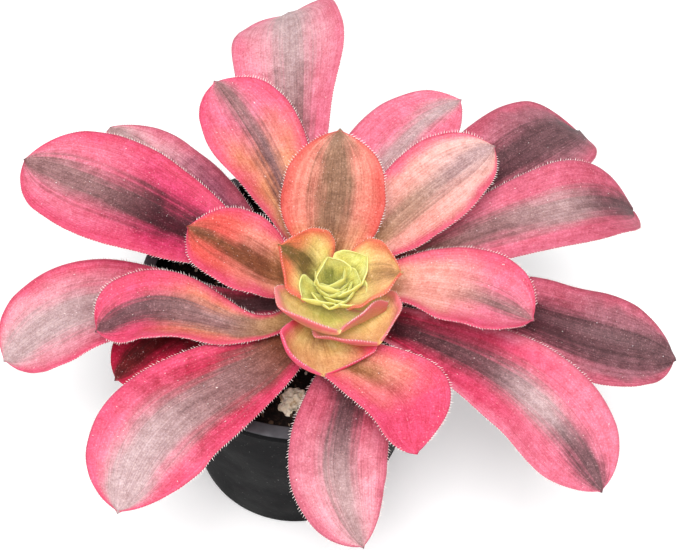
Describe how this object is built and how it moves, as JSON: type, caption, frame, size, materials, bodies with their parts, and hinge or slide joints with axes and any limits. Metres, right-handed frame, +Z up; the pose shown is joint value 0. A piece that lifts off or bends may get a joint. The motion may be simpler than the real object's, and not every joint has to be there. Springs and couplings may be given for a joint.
{
  "type": "potted aeonium",
  "caption": "Variegated pink aeonium, one open rosette of 24 fleshy leaves round a pale heart, in a round black nursery pot with soil and pumice.",
  "frame": {"origin": "centre of the pot's flat foot, on the plane that it stands on", "axes": "+Z up along the pot's axis; -Y towards the side that leans towards the viewer; +X to the viewer's right, along the longest spread of the rosette"},
  "size_m": [0.2002, 0.1689, 0.1451],
  "materials": {
    "pot_plastic": "satin",
    "potting_soil": "matte",
    "pumice": "matte",
    "stem_bark": "matte",
    "leaf_young": "satin",
    "leaf_middle": "satin",
    "leaf_old": "satin",
    "heart_leaf": "satin"
  },
  "bodies": {
    "root": {"pot": "pot_plastic", "soil": "potting_soil", "pumice_1": "pumice", "pumice_2": "pumice", "pumice_3": "pumice", "pumice_4": "pumice", "pumice_5": "pumice", "stem": "stem_bark", "leaf_01": "leaf_young", "leaf_02": "leaf_young", "leaf_03": "leaf_young", "leaf_04": "leaf_young", "leaf_05": "leaf_young", "leaf_06": "leaf_middle", "leaf_07": "leaf_middle", "leaf_08": "leaf_middle", "leaf_09": "leaf_middle", "leaf_10": "leaf_middle", "leaf_11": "leaf_middle", "leaf_12": "leaf_middle", "leaf_13": "leaf_middle", "leaf_14": "leaf_old", "leaf_15": "leaf_old", "leaf_16": "leaf_old", "leaf_17": "leaf_old", "leaf_18": "leaf_old", "leaf_19": "leaf_old", "leaf_20": "leaf_old", "leaf_21": "leaf_old", "leaf_22": "leaf_old", "leaf_23": "leaf_old", "leaf_24": "leaf_old", "heart": "heart_leaf"}
  },
  "joints": []
}
